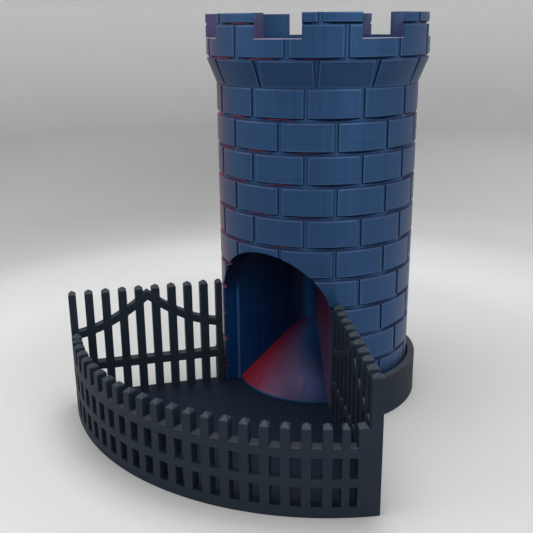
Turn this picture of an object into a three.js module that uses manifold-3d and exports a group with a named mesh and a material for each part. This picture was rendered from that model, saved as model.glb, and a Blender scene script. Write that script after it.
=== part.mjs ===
// Castle dice tower: a round brick tower that stands in the socket of a fenced tray.
//
// Units are millimetres and +Z is up. The tower's axis is X = Y = 0, the table is Z = 0 and the
// doorway faces -Y. Bearings are degrees about the axis, counted from -Y towards +X, so the tray
// lies at bearings from -trayHalfAngle to +trayHalfAngle.
//
// Two bodies: the base (plate, socket ring, fences) and the tower, which lifts out of the socket.

import * as THREE from 'three';
import { mergeVertices } from 'three/addons/utils/BufferGeometryUtils.js';
import Module from 'manifold-3d';

const wasm = await Module();
wasm.setup();

// ---------------------------------------------------------------- driving dimensions

const gap = 0.3; // air between neighbouring pieces

// tower
const wallRadius = 50; // outer face of the bricks
const wallThickness = 8.2;
const courseHeight = 14.9;
const shaftTop = 164.3; // where the crown begins to flare
const crownRadius = 54.6;
const crownThickness = 8.1;
const flareTop = 177.4;
const crenelFloor = 184.7;
const towerTop = 195.5;
const merlonCount = 7;
const merlonWidth = 27.7; // degrees
const firstMerlon = -13.3; // bearing of a merlon's middle
const shaftCourses = 5; // courses above the doorway, one node

// doorway and exit chamber
const trayHalfAngle = 41.25; // the doorway and the tray are the same sector
const archSpring = 53; // where the jambs end and the round arch begins
const archRise = 33;
const archSteps = 12; // levels of the arch, which ends at archEnd degrees to keep a flat of its own
const archEnd = 87;
const rampLip = 1.3; // upright edge at the foot of the ramp
const rampSlope = 0.92; // fall per millimetre of radius
const chamberFillet = 12; // radius of the rounded corner at the back of the chamber
const filletStep = 11; // degrees
const innerSheet = 3; // thickness of chamber walls and baffles

// baffles
const baffleTilt = 28; // degrees
const deckFrontY = -31; // the deck's height is given here
const deckFrontZ = 88;
const frontBaffle = { wallZ: 158, edgeY: -4 };
const backBaffle = { wallZ: 176, edgeY: 6 };

// base
const plateThickness = 5.2;
const ringInner = 50.9;
const ringOuter = 54.6;
const ringTop = 21.2;
const trayRadius = 129.4;
const fenceDepth = 5; // pickets and rails, across the fence
const picketWidth = 4.2;
const tipHeight = 2; // the pyramid on each picket

// side fences
const sidePickets = 10;
const firstSidePicket = 52.05; // distance of its middle from the tower's axis
const sidePitch = 8.41;
const sideTop = 63.4;
const lowRail = { bottom: 19.6, top: 23.8 };
const archedRail = { peak: 58, thickness: 3.8, slope: 0.85, bend: 0.0094, steps: 8 };

// front fence
const frontPitch = 3.75; // degrees
const frontPickets = 19;
const frontPicketAngle = 1.8; // degrees
const endPicket = { bearing: 36.97, width: 1.45 };
const endBlockBearing = 39.1;
const frontTop = 42.1;
const frontRails = [
  { bottom: 13.9, top: 17.8 },
  { bottom: 27.2, top: 31.7 },
];

// ---------------------------------------------------------------- derived dimensions

const shaftRadius = wallRadius - wallThickness;
const crownInner = crownRadius - crownThickness;
const towerFoot = plateThickness + gap;
const doorCourseTop = shaftTop - shaftCourses * courseHeight;
const fittedRadius = shaftRadius - gap; // what stands inside the shaft
const rampFoot = towerFoot + rampLip;
const trayInner = trayRadius - fenceDepth; // the inner face of the front fence
const lastSidePicket = firstSidePicket + (sidePickets - 1) * sidePitch;
const sideMiddle = (firstSidePicket + lastSidePicket) / 2;
const radians = THREE.MathUtils.degToRad;
const circleSteps = 72;
const tall = 400; // larger than anything here

// ---------------------------------------------------------------- materials

const silk = new THREE.MeshStandardMaterial({ color: 0x2b4a73, roughness: 0.38, metalness: 0.1 });
const silkInside = new THREE.MeshStandardMaterial({ color: 0x6a3a5c, roughness: 0.4, metalness: 0.1 });
const charcoal = new THREE.MeshStandardMaterial({ color: 0x262b30, roughness: 0.62, metalness: 0 });

// ---------------------------------------------------------------- geometry helpers

// A closed geometry with shared vertices, ready for a boolean.
function welded(geometry) {
  const bare = geometry.index ? geometry.toNonIndexed() : geometry.clone();
  for (const name of Object.keys(bare.attributes)) {
    if (name !== 'position') bare.deleteAttribute(name);
  }
  return mergeVertices(bare, 1e-4);
}

function toSolid(geometry) {
  const closed = welded(geometry);
  const mesh = new wasm.Mesh({
    numProp: 3,
    vertProperties: new Float32Array(closed.attributes.position.array),
    triVerts: new Uint32Array(closed.index.array),
  });
  mesh.merge();
  return new wasm.Manifold(mesh);
}

function toGeometry(solid) {
  const mesh = solid.getMesh();
  const geometry = new THREE.BufferGeometry();
  geometry.setAttribute('position', new THREE.BufferAttribute(mesh.vertProperties, 3));
  geometry.setIndex(new THREE.BufferAttribute(mesh.triVerts, 1));
  geometry.computeVertexNormals();
  return geometry;
}

// A point at a distance from the axis, on a bearing.
function polar(radius, bearing) {
  const angle = radians(bearing);
  return new THREE.Vector2(radius * Math.sin(angle), -radius * Math.cos(angle));
}

// A point given along a bearing, and across it towards larger bearings.
function alongAcross(bearing, along, across) {
  return polar(along, bearing).add(polar(across, bearing + 90));
}

function arc(radius, from, to, step = 360 / circleSteps) {
  const count = Math.max(1, Math.ceil(Math.abs(to - from) / step - 1e-9));
  return Array.from({ length: count + 1 }, (_, i) => polar(radius, from + ((to - from) * i) / count));
}

function prism(outline, bottom, top) {
  const shape = new THREE.Shape(outline);
  const geometry = new THREE.ExtrudeGeometry(shape, { depth: top - bottom, bevelEnabled: false });
  return geometry.translate(0, 0, bottom);
}

function ringSector(inner, outer, bottom, top, from, to, step) {
  return prism([...arc(outer, from, to, step), ...arc(inner, to, from, step)], bottom, top);
}

// A solid turned about the axis, from [radius, height] corners. A profile that leaves the axis closes.
function turned(corners) {
  const closed = corners[0][0] === 0 ? corners : [...corners, corners[0]];
  const profile = closed.map(([radius, height]) => new THREE.Vector2(radius, height));
  return new THREE.LatheGeometry(profile, circleSteps).rotateX(Math.PI / 2);
}

function disc(radius, bottom, top) {
  return prism(arc(radius, 0, 360 - 360 / circleSteps), bottom, top);
}

// A slab between two heights, tilted about X through the point (y, z) so that it rises towards +Y.
function tiltedSlab(y, z, tilt, low, high) {
  const slab = new THREE.BoxGeometry(tall, tall, high - low).translate(0, 0, (low + high) / 2);
  return toSolid(slab.rotateX(radians(tilt)).translate(0, y, z));
}

// ---------------------------------------------------------------- tower pieces

// The doorway: radial jambs with a round arch, wide enough to cut the wall only.
function doorwayCutter() {
  const near = shaftRadius - wallThickness;
  const far = 1.5 * wallRadius; // its straight outer edge still clears the wall
  const levels = [{ z: 0, half: trayHalfAngle }];
  for (let step = 0; step <= archSteps; step += 1) {
    const turn = (step / archSteps) * archEnd;
    const reach = Math.cos(radians(turn)) * Math.sin(radians(trayHalfAngle));
    const half = THREE.MathUtils.radToDeg(Math.asin(reach));
    levels.push({ z: archSpring + archRise * Math.sin(radians(turn)), half });
  }
  const corners = levels.flatMap(({ z, half }) =>
    [[near, -half], [far, -half], [far, half], [near, half]].map(([radius, bearing]) => {
      const p = polar(radius, bearing);
      return [p.x, p.y, z];
    }));
  const faces = [0, 2, 1, 0, 3, 2];
  for (let level = 0; level < levels.length - 1; level += 1) {
    for (let side = 0; side < 4; side += 1) {
      const a = level * 4 + side;
      const b = level * 4 + ((side + 1) % 4);
      faces.push(a, b, b + 4, a, b + 4, a + 4);
    }
  }
  const top = (levels.length - 1) * 4;
  faces.push(top, top + 1, top + 2, top, top + 2, top + 3);
  const geometry = new THREE.BufferGeometry();
  geometry.setAttribute('position', new THREE.Float32BufferAttribute(corners.flat(), 3));
  geometry.setIndex(faces);
  return geometry;
}

function shaftWall(bottom, top) {
  return turned([[shaftRadius, bottom], [wallRadius, bottom], [wallRadius, top], [shaftRadius, top]]);
}

function doorwayWall() {
  const wall = toSolid(shaftWall(towerFoot, doorCourseTop - gap / 2));
  return toGeometry(wall.subtract(toSolid(doorwayCutter())));
}

function corbel() {
  const bottom = shaftTop + gap / 2;
  const top = flareTop - gap / 2;
  return turned([[shaftRadius, bottom], [wallRadius, bottom], [crownRadius, top], [crownInner, top]]);
}

function parapet() {
  const bottom = flareTop + gap / 2;
  const top = crenelFloor;
  return turned([[crownInner, bottom], [crownRadius, bottom], [crownRadius, top], [crownInner, top]]);
}

function merlon(middle) {
  const half = merlonWidth / 2;
  return ringSector(crownInner, crownRadius, crenelFloor + gap, towerTop, middle - half, middle + half);
}

// The plan of the exit chamber, drawn in by an inset: two radial sides and a rounded back corner.
function chamberPlan(inset, reach) {
  const centre = polar(chamberFillet / Math.sin(radians(trayHalfAngle)), 0);
  const turnTo = 90 + trayHalfAngle;
  const back = arc(chamberFillet - inset, turnTo, 360 - turnTo, filletStep).map((p) => p.add(centre));
  return [...back, alongAcross(-trayHalfAngle, reach, inset), alongAcross(trayHalfAngle, reach, -inset)];
}

function exitRamp() {
  const apex = rampFoot + rampSlope * fittedRadius;
  const cone = turned([[0, towerFoot], [fittedRadius, towerFoot], [fittedRadius, rampFoot], [0, apex]]);
  const sector = prism(chamberPlan(gap, tall), 0, tall);
  return toGeometry(toSolid(cone).intersect(toSolid(sector)));
}

// The deck and everything above it, which trims what stands beneath it.
function aboveDeck() {
  return tiltedSlab(deckFrontY, deckFrontZ, baffleTilt, -innerSheet - gap, tall);
}

function chamberWall(side) {
  const start = chamberFillet / Math.tan(radians(trayHalfAngle)) + gap;
  const outerEnd = Math.sqrt(fittedRadius ** 2 - innerSheet ** 2);
  const bearing = side * trayHalfAngle;
  const outline = [[start, 0], [fittedRadius, 0], [outerEnd, innerSheet], [start, innerSheet]]
    .map(([along, across]) => alongAcross(bearing, along, side * across));
  const plate = toSolid(prism(side > 0 ? outline : outline.reverse(), towerFoot, shaftTop));
  return toGeometry(plate.subtract(aboveDeck()));
}

function chamberCorner() {
  const start = chamberFillet / Math.tan(radians(trayHalfAngle));
  const centre = polar(chamberFillet / Math.sin(radians(trayHalfAngle)), 0);
  const turnTo = 90 + trayHalfAngle;
  const front = arc(chamberFillet, turnTo, 360 - turnTo, filletStep).map((p) => p.add(centre));
  const outline = [
    ...front,
    alongAcross(-trayHalfAngle, start, -innerSheet),
    new THREE.Vector2(0, innerSheet / Math.sin(radians(trayHalfAngle))),
    alongAcross(trayHalfAngle, start, innerSheet),
  ];
  const column = toSolid(prism(outline, towerFoot, shaftTop));
  return toGeometry(column.subtract(aboveDeck()));
}

// The sloping deck over the space behind the chamber: it sheds dice into the chamber.
function deck() {
  const sheet = tiltedSlab(deckFrontY, deckFrontZ, baffleTilt, -innerSheet, 0);
  const fitted = sheet.intersect(toSolid(disc(fittedRadius, 0, tall)));
  return toGeometry(fitted.subtract(toSolid(prism(chamberPlan(0, tall), 0, tall))));
}

// A sheet from one side of the shaft to an edge across it. side is +1 at the back, -1 at the front.
function baffle({ wallZ, edgeY }, side) {
  const sheet = tiltedSlab(side * fittedRadius, wallZ, side * baffleTilt, -innerSheet, 0);
  const fitted = sheet.intersect(toSolid(disc(fittedRadius, 0, tall)));
  const free = new THREE.BoxGeometry(tall, tall, 2 * tall).translate(0, edgeY - (side * tall) / 2, 0);
  return toGeometry(fitted.subtract(toSolid(free)));
}

// ---------------------------------------------------------------- base pieces

// The plate under everything: the socket's disc joined to the tray's sector.
function basePlate() {
  const corner = Math.sqrt(trayRadius ** 2 - fenceDepth ** 2);
  const cornerBearing = trayHalfAngle + THREE.MathUtils.radToDeg(Math.asin(fenceDepth / trayRadius));
  const sector = [
    new THREE.Vector2(0, 0),
    alongAcross(-trayHalfAngle, 0, -fenceDepth),
    alongAcross(-trayHalfAngle, corner, -fenceDepth),
    ...arc(trayRadius, -cornerBearing, cornerBearing, frontPitch).slice(1, -1),
    alongAcross(trayHalfAngle, corner, fenceDepth),
    alongAcross(trayHalfAngle, 0, fenceDepth),
  ];
  const tray = toSolid(prism(sector, 0, plateThickness));
  return toGeometry(tray.add(toSolid(disc(ringOuter, 0, plateThickness))));
}

// The socket ring runs round the back, from one side fence to the other.
function socketRing() {
  const across = fenceDepth + gap;
  const from = trayHalfAngle + THREE.MathUtils.radToDeg(Math.asin(across / ringInner));
  return ringSector(ringInner, ringOuter, plateThickness + gap, ringTop, from, 360 - from);
}

// A picket with a four-sided tip. The outline runs anticlockwise around its middle.
function picket(outline, top) {
  const foot = plateThickness + gap;
  const shoulder = top - tipHeight;
  const middle = new THREE.Vector2();
  outline.forEach((p) => middle.add(p));
  middle.divideScalar(outline.length);
  const count = outline.length;
  const corners = [
    ...outline.map((p) => [p.x, p.y, foot]),
    ...outline.map((p) => [p.x, p.y, shoulder]),
    [middle.x, middle.y, top],
  ];
  const faces = [0, 2, 1, 0, 3, 2];
  for (let i = 0; i < count; i += 1) {
    const next = (i + 1) % count;
    faces.push(i, next, next + count, i, next + count, i + count);
    faces.push(i + count, next + count, 2 * count);
  }
  const geometry = new THREE.BufferGeometry();
  geometry.setAttribute('position', new THREE.Float32BufferAttribute(corners.flat(), 3));
  geometry.setIndex(faces);
  return geometry;
}

function sidePicket(side, along, width = picketWidth) {
  const bearing = side * trayHalfAngle;
  const outline = [[along - width / 2, 0], [along + width / 2, 0],
    [along + width / 2, fenceDepth], [along - width / 2, fenceDepth]]
    .map(([a, d]) => alongAcross(bearing, a, side * d));
  return picket(side > 0 ? outline : outline.reverse(), sideTop);
}

// A side fence's outline is drawn upright, as [distance from the axis, height], and set on its bearing.
function uprightPanel(side, outline) {
  const shape = new THREE.Shape(outline.map(([along, height]) => new THREE.Vector2(along, height)));
  const geometry = new THREE.ExtrudeGeometry(shape, { depth: fenceDepth, bevelEnabled: false });
  const bearing = side * trayHalfAngle;
  const along = new THREE.Vector3(...polar(1, bearing), 0);
  const up = new THREE.Vector3(0, 0, 1);
  const depth = along.clone().cross(up);
  const start = side > 0 ? fenceDepth : 0;
  const frame = new THREE.Matrix4().makeBasis(along, up, depth);
  frame.setPosition(new THREE.Vector3(...alongAcross(bearing, 0, side * start), 0));
  return geometry.applyMatrix4(frame);
}

function archedRailOutline() {
  const { peak, thickness, slope, bend, steps } = archedRail;
  const reach = sideMiddle - firstSidePicket;
  const upper = [];
  const lower = [];
  for (let i = -steps; i <= steps; i += 1) {
    const offset = (i / steps) * reach;
    const away = Math.abs(offset);
    const middle = peak - slope * away + bend * away ** 2;
    const half = (thickness / 2) * Math.hypot(1, slope - 2 * bend * away);
    upper.push([sideMiddle + offset, middle + half]);
    lower.push([sideMiddle + offset, middle - half]);
  }
  return [...lower, ...upper.reverse()];
}

function sideFence(side) {
  const outerEnd = lastSidePicket - picketWidth / 2 - gap;
  const rail = [[firstSidePicket, lowRail.bottom], [outerEnd, lowRail.bottom],
    [outerEnd, lowRail.top], [firstSidePicket, lowRail.top]];
  let panel = toSolid(uprightPanel(side, rail)).add(toSolid(uprightPanel(side, archedRailOutline())));
  for (let i = 0; i < sidePickets - 1; i += 1) {
    panel = panel.add(toSolid(sidePicket(side, firstSidePicket + i * sidePitch)));
  }
  const postSpace = toSolid(sidePicket(side, lastSidePicket, picketWidth + 2 * gap));
  const room = postSpace.add(toSolid(disc(ringInner, 0, tall)));
  return toGeometry(panel.subtract(room));
}

function cornerPost(side) {
  const post = toSolid(sidePicket(side, lastSidePicket));
  return toGeometry(post.intersect(toSolid(disc(trayRadius, 0, tall))));
}

function frontPicket(bearing, width) {
  const from = bearing - width / 2;
  const to = bearing + width / 2;
  const outline = [
    polar(trayRadius, from), polar(trayRadius, to), polar(trayInner, to), polar(trayInner, from),
  ];
  return picket(outline, frontTop);
}

function frontFence() {
  const sideGap = THREE.MathUtils.radToDeg(gap / trayInner);
  const end = trayHalfAngle - sideGap;
  const rails = frontRails.map(({ bottom, top }) =>
    toSolid(ringSector(trayInner, trayRadius, bottom, top, -end, end, frontPitch)));
  let fence = rails[0].add(rails[1]);
  for (let i = 0; i < frontPickets; i += 1) {
    const bearing = (i - (frontPickets - 1) / 2) * frontPitch;
    fence = fence.add(toSolid(frontPicket(bearing, frontPicketAngle)));
  }
  for (const side of [-1, 1]) {
    fence = fence.add(toSolid(frontPicket(side * endPicket.bearing, endPicket.width)));
    const blockMiddle = (endBlockBearing + end) / 2;
    fence = fence.add(toSolid(frontPicket(side * blockMiddle, end - endBlockBearing)));
  }
  return toGeometry(fence);
}

// ---------------------------------------------------------------- the assembly

function piece(name, geometry, material) {
  const mesh = new THREE.Mesh(geometry, material);
  mesh.name = name;
  return mesh;
}

const base = new THREE.Group();
base.add(
  piece('base_plate', basePlate(), charcoal),
  piece('socket_ring', socketRing(), charcoal),
  piece('left_fence', sideFence(-1), charcoal),
  piece('right_fence', sideFence(1), charcoal),
  piece('left_corner_post', cornerPost(-1), charcoal),
  piece('right_corner_post', cornerPost(1), charcoal),
  piece('front_fence', frontFence(), charcoal),
);

const tower = new THREE.Group();
tower.add(
  piece('doorway_wall', doorwayWall(), silk),
  piece('shaft_wall', shaftWall(doorCourseTop + gap / 2, shaftTop - gap / 2), silk),
  piece('corbel_ring', corbel(), silk),
  piece('parapet_ring', parapet(), silk),
  piece('exit_ramp', exitRamp(), silkInside),
  piece('left_chamber_wall', chamberWall(-1), silkInside),
  piece('right_chamber_wall', chamberWall(1), silkInside),
  piece('chamber_corner', chamberCorner(), silkInside),
  piece('sloping_deck', deck(), silkInside),
  piece('front_baffle', baffle(frontBaffle, -1), silkInside),
  piece('back_baffle', baffle(backBaffle, 1), silkInside),
);
for (let i = 0; i < merlonCount; i += 1) {
  tower.add(piece(`merlon_${i + 1}`, merlon(firstMerlon + (i * 360) / merlonCount), silk));
}

const diceTower = new THREE.Group();
diceTower.add(base, tower);

export default diceTower;
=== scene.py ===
"""The looks of a castle dice tower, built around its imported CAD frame.

Lengths are metres, and MM turns millimetres into them. +Z is up, the tower's axis is X = Y = 0 and the
doorway faces -Y. Bearings are degrees about the axis, counted from -Y towards +X.
"""

import math
from collections import namedtuple
from functools import cached_property
from itertools import product

import bmesh
import bpy
import numpy as np
from mathutils import Matrix, Vector


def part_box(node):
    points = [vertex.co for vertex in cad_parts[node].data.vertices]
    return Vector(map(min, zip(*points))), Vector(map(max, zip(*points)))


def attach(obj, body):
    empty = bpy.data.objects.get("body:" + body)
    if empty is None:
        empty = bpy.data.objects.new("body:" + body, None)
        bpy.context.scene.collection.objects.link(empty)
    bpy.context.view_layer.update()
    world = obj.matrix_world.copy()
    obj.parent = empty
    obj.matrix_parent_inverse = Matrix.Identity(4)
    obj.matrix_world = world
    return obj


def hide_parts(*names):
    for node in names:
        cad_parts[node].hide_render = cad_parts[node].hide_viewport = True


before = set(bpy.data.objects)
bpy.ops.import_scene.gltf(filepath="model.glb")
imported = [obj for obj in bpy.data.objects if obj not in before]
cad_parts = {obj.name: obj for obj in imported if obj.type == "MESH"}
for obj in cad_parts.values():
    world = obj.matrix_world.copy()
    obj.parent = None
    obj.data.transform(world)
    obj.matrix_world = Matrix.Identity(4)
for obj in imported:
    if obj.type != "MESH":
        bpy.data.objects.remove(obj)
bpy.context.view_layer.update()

MM = 0.001


def low(node):
    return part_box(node)[0]


def high(node):
    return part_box(node)[1]


# ---------------------------------------------------------------- sizes of the tower

GAP = 0.3 * MM  # air between the tower and the base
FOOT = low("doorway_wall").z
WALL_RADIUS = high("shaft_wall").x
CROWN_RADIUS = high("parapet_ring").x
WALL_THICKNESS = 8.2 * MM
CROWN_THICKNESS = 8.1 * MM
SHAFT_RADIUS = WALL_RADIUS - WALL_THICKNESS
CROWN_INNER = CROWN_RADIUS - CROWN_THICKNESS
FITTED_RADIUS = SHAFT_RADIUS - GAP

SHAFT_TOP = high("shaft_wall").z + GAP / 2
DOOR_TOP = low("shaft_wall").z - GAP / 2
UPPER_COURSES = 5
COURSE = (SHAFT_TOP - DOOR_TOP) / UPPER_COURSES
LOWER_COURSES = 6
CRENEL_FLOOR = high("parapet_ring").z
TOWER_TOP = high("merlon_1").z
MERLONS = 7
MERLON_HALF = 13.85  # degrees
FIRST_MERLON = -13.3

LEDGE_DROP = 1.3 * MM  # from a course line down to the ledge of the bricks below it
FACE_RISE = 1.1 * MM  # from a course line up to the bricks above it
FLARE_FACE = SHAFT_TOP - 0.6 * MM
FLARE_LEDGE = 175.3 * MM
PARAPET_FACE = 176.9 * MM
PARAPET_LEDGE = 190.2 * MM
TOP_FACE = 191.6 * MM

# ---------------------------------------------------------------- sizes of the doorway and chamber

TRAY_HALF_ANGLE = 41.25
HALF_TRAY = math.radians(TRAY_HALF_ANGLE)
ARCH_SPRING = 53 * MM
ARCH_RISE = 33 * MM
RAMP_LIP = 1.3 * MM
RAMP_SLOPE = 0.92
LINER_SHEET = 3 * MM
CHAMBER_FILLET = 12 * MM
DECK_TILT = 28
DECK_FRONT_Y = -31 * MM
DECK_FRONT_Z = 88 * MM

# ---------------------------------------------------------------- sizes of the base

PLATE_TOP = high("base_plate").z
TRAY_RADIUS = -low("base_plate").y
RING_OUTER = high("socket_ring").x
RING_INNER = 50.9 * MM
RING_TOP = high("socket_ring").z
FENCE_DEPTH = 5 * MM
TIP = 2 * MM

SIDE_PICKETS = 10
PICKET_WIDTH = 4.2 * MM
FIRST_SIDE_PICKET = 52.05 * MM
SIDE_PITCH = 8.41 * MM
LAST_SIDE_PICKET = FIRST_SIDE_PICKET + (SIDE_PICKETS - 1) * SIDE_PITCH
SIDE_TOP = high("left_fence").z
LOW_RAIL = (19.6 * MM, 23.8 * MM)
ARCH_PEAK = 58 * MM
ARCH_THICKNESS = 3.8 * MM
ARCH_SLOPE = 0.85
ARCH_BEND = 0.0094 / MM

FRONT_PICKETS = 19
FRONT_PITCH = 3.75  # degrees
FRONT_PICKET_ANGLE = 1.8
END_PICKET = (36.97, 1.45)  # bearing and width, in degrees
END_BLOCK = (39.1, 41.25)
FRONT_TOP = high("front_fence").z
FRONT_RAILS = (13.9 * MM, 17.8 * MM, 27.2 * MM, 31.7 * MM)  # the bottom and top of each

SOFT_EDGE = 0.35 * MM  # how far a printed edge is rounded
NEAR = 0.1 * MM  # closer than this counts as touching
TINY = 0.001 * MM


# ---------------------------------------------------------------- mesh helpers


def polar(radius, bearing, height=0.0):
    """A point at a distance from the axis, on a bearing."""
    angle = math.radians(bearing)
    return Vector((radius * math.sin(angle), -radius * math.cos(angle), height))


def polar_points(bearings, heights, radii):
    angles = np.radians(bearings)
    heights = np.broadcast_to(heights, angles.shape)
    return np.stack([radii * np.sin(angles), -radii * np.cos(angles), heights], axis=1)


def along_across(bearing, along, across):
    """A point given along a bearing, and across it towards larger bearings."""
    return polar(along, bearing) + polar(across, bearing + 90)


def arc(radius, start, end, step=1.5):
    count = max(1, math.ceil(abs(end - start) / step - 1e-9))
    return [polar(radius, start + (end - start) * i / count) for i in range(count + 1)]


def piece(name, vertices, faces, smooth=35):
    """A mesh object, smooth except at edges that turn by more than an angle."""
    mesh = bpy.data.meshes.new(name)
    mesh.from_pydata([tuple(v) for v in vertices], [], faces)
    made = bpy.data.objects.new(name, mesh)
    bpy.context.scene.collection.objects.link(made)
    soften_shading(made, smooth)
    return made


def soften_shading(made, angle):
    made.data.shade_smooth()
    made.data.set_sharp_from_angle(angle=math.radians(angle))


def apply_modifiers(made):
    bpy.context.view_layer.update()
    evaluated = made.evaluated_get(bpy.context.evaluated_depsgraph_get())
    mesh = bpy.data.meshes.new_from_object(evaluated)
    made.modifiers.clear()
    made.data = mesh


def combine(made, other, operation):
    """A boolean of two closed pieces. The second one is used up."""
    step = made.modifiers.new("combine", "BOOLEAN")
    step.operation = operation
    step.solver = "EXACT"
    step.object = other
    apply_modifiers(made)
    bpy.data.objects.remove(other)
    return made


def round_edges(made, keep_sharp):
    """Rounds the edges that turn by over 30 degrees, except where keep_sharp(one end, other end)."""
    mesh = bmesh.new()
    mesh.from_mesh(made.data)
    weights = mesh.edges.layers.float.new("bevel_weight_edge")
    for edge in mesh.edges:
        sharp = len(edge.link_faces) == 2 and edge.calc_face_angle() > math.radians(30)
        edge[weights] = float(sharp and not keep_sharp(*(end.co for end in edge.verts)))
    mesh.to_mesh(made.data)
    mesh.free()
    bevel = made.modifiers.new("rounded edges", "BEVEL")
    bevel.limit_method = "WEIGHT"
    bevel.width = SOFT_EDGE
    bevel.segments = 2
    bevel.use_clamp_overlap = True
    bevel.harden_normals = True
    apply_modifiers(made)
    return made


def prism(name, outline, bottom, top):
    """A closed column over an anticlockwise outline. top is a height, or a function of a point."""
    height = top if callable(top) else lambda point: top
    count = len(outline)
    vertices = [Vector((p.x, p.y, bottom)) for p in outline]
    vertices += [Vector((p.x, p.y, height(p))) for p in outline]
    faces = [tuple(reversed(range(count))), tuple(range(count, 2 * count))]
    for i in range(count):
        after = (i + 1) % count
        faces.append((i, after, after + count, i + count))
    return piece(name, vertices, faces)


def turned(name, profile):
    """A solid of revolution. The profile is (radius, height) corners and ends on the axis."""
    count = 360
    vertices = [Vector((0, 0, profile[0][1]))]
    for radius, height in profile[1:-1]:
        vertices += [polar(radius, i, height) for i in range(count)]
    vertices.append(Vector((0, 0, profile[-1][1])))
    last_ring = 1 + (len(profile) - 3) * count
    faces = []
    for i in range(count):
        after = (i + 1) % count
        faces.append((0, 1 + after, 1 + i))
        for a in range(1, last_ring, count):
            faces.append((a + i, a + after, a + count + after, a + count + i))
        faces.append((last_ring + i, last_ring + after, len(vertices) - 1))
    return piece(name, vertices, faces)


def shell(name, rows, inner, closed):
    """A wall between a shaped outer sheet and a plain inner one.

    rows are (bearings, heights, radii) arrays from bottom to top, and inner is the inner radius at the
    bottom and at the top. A wall that isn't closed has flat radial ends.
    """
    columns = len(rows[0][0])
    sheet = [polar_points(*row) for row in rows]
    ends = [
        polar_points(rows[0][0], rows[0][1], inner[0]),
        polar_points(rows[-1][0], rows[-1][1], inner[1]),
    ]
    vertices = np.concatenate(sheet + ends)
    top = (len(rows) - 1) * columns
    inner_low = len(rows) * columns
    inner_high = inner_low + columns
    faces = []
    for j in range(columns if closed else columns - 1):
        k = (j + 1) % columns
        for i in range(len(rows) - 1):
            a = i * columns
            faces.append((a + j, a + k, a + columns + k, a + columns + j))
        faces.append((inner_low + k, inner_low + j, inner_high + j, inner_high + k))
        faces.append((top + j, top + k, inner_high + k, inner_high + j))
        faces.append((j, inner_low + j, inner_low + k, k))
    if not closed:
        first = [i * columns for i in range(len(rows))] + [inner_high, inner_low]
        last = [i + columns - 1 for i in first]
        faces += [tuple(first), tuple(reversed(last))]
    return piece(name, vertices, faces)


# ---------------------------------------------------------------- bricks

# A course of bricks: its mortar starts at ledge, its brick faces at face, and its own ledge is at top.
# joint is the bearing of one upright joint, and half_widths are a joint's at the bottom and the top.
Course = namedtuple("Course", "ledge face top joint pitch radii half_widths depth")

EDGE_PLACES = (-0.05, 0.05, 0.15, 0.4)  # mm from the side of an upright joint
EDGE_SHARES = (0.0, 0.5, 0.85, 1.0)  # how far a brick has risen there
RIM = 0.5 * MM  # the painted highlight along a brick's edges
JOINT_COLUMNS = (-0.45, *EDGE_PLACES, EDGE_PLACES[-1] + RIM / MM)  # mm from the joint's side
COLUMN_SPACING = 2.0  # degrees, between the joints
TOP_EDGE = 0.25 * MM  # how far a brick's top edge is rounded
UNDERSIDE_SLOPE = 0.72  # how far a brick's underside falls for its depth


def shaft_course(index):
    """Courses are counted down from the crown."""
    line = SHAFT_TOP - (index + 1) * COURSE
    return Course(
        ledge=line - LEDGE_DROP, face=line + FACE_RISE, top=line + COURSE - LEDGE_DROP,
        joint=11.7 if index % 2 else 25.8, pitch=30,
        radii=(WALL_RADIUS, WALL_RADIUS), half_widths=(0.95 * MM, 0.95 * MM), depth=0.5 * MM,
    )


def crown_course(ledge, face, top, joint):
    return Course(
        ledge, face, top, joint, pitch=360 / 13,
        radii=(CROWN_RADIUS, CROWN_RADIUS), half_widths=(1.1 * MM, 1.1 * MM), depth=0.35 * MM,
    )


FLARE = Course(
    ledge=SHAFT_TOP - LEDGE_DROP, face=FLARE_FACE, top=FLARE_LEDGE, joint=1.0, pitch=30,
    radii=(WALL_RADIUS, CROWN_RADIUS), half_widths=(0.5 * MM, 1.4 * MM), depth=0.6 * MM,
)
PARAPET = crown_course(FLARE_LEDGE, PARAPET_FACE, PARAPET_LEDGE, joint=17.1)
TOP_COURSE = crown_course(PARAPET_LEDGE, TOP_FACE, TOWER_TOP, joint=32.5)


def from_joint(course, bearings):
    """Degrees from the nearest upright joint, signed."""
    return (bearings - course.joint + course.pitch / 2) % course.pitch - course.pitch / 2


def share_up(course, height):
    return min(1.0, max(0.0, (height - course.face) / (course.top - course.face)))


def between(pair, share):
    return pair[0] + (pair[1] - pair[0]) * share


def core_radius(course, bearings, radius):
    """The mortar is flat between two upright joints, so it is a polygon with its corners at them."""
    half = course.pitch / 2
    away = half - np.abs(from_joint(course, bearings))
    corner = radius - course.depth
    return corner * math.cos(math.radians(half)) / np.cos(np.radians(away))


def brick_share(course, bearings, half_width, radius):
    """0 in an upright joint, 1 on a brick's face."""
    offset = np.abs(np.radians(from_joint(course, bearings))) * radius - half_width
    return np.interp(offset / MM, EDGE_PLACES, EDGE_SHARES)


def mortar_rows(course, columns):
    """A course's ledge, and the edge of its bricks' undersides at the back."""
    radius = course.radii[0]
    bearings = columns(course.half_widths[0], radius)
    deepest = radius - (course.face - course.ledge)
    core = np.maximum(core_radius(course, bearings, radius), deepest)
    slope = UNDERSIDE_SLOPE if course.radii[0] == course.radii[1] else 0.0
    fall = np.maximum(slope * (radius - core), 0.03 * MM)
    ledge = np.full(len(bearings), course.ledge)
    return [(bearings, ledge, core), (bearings, course.face - fall, core)]


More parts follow.
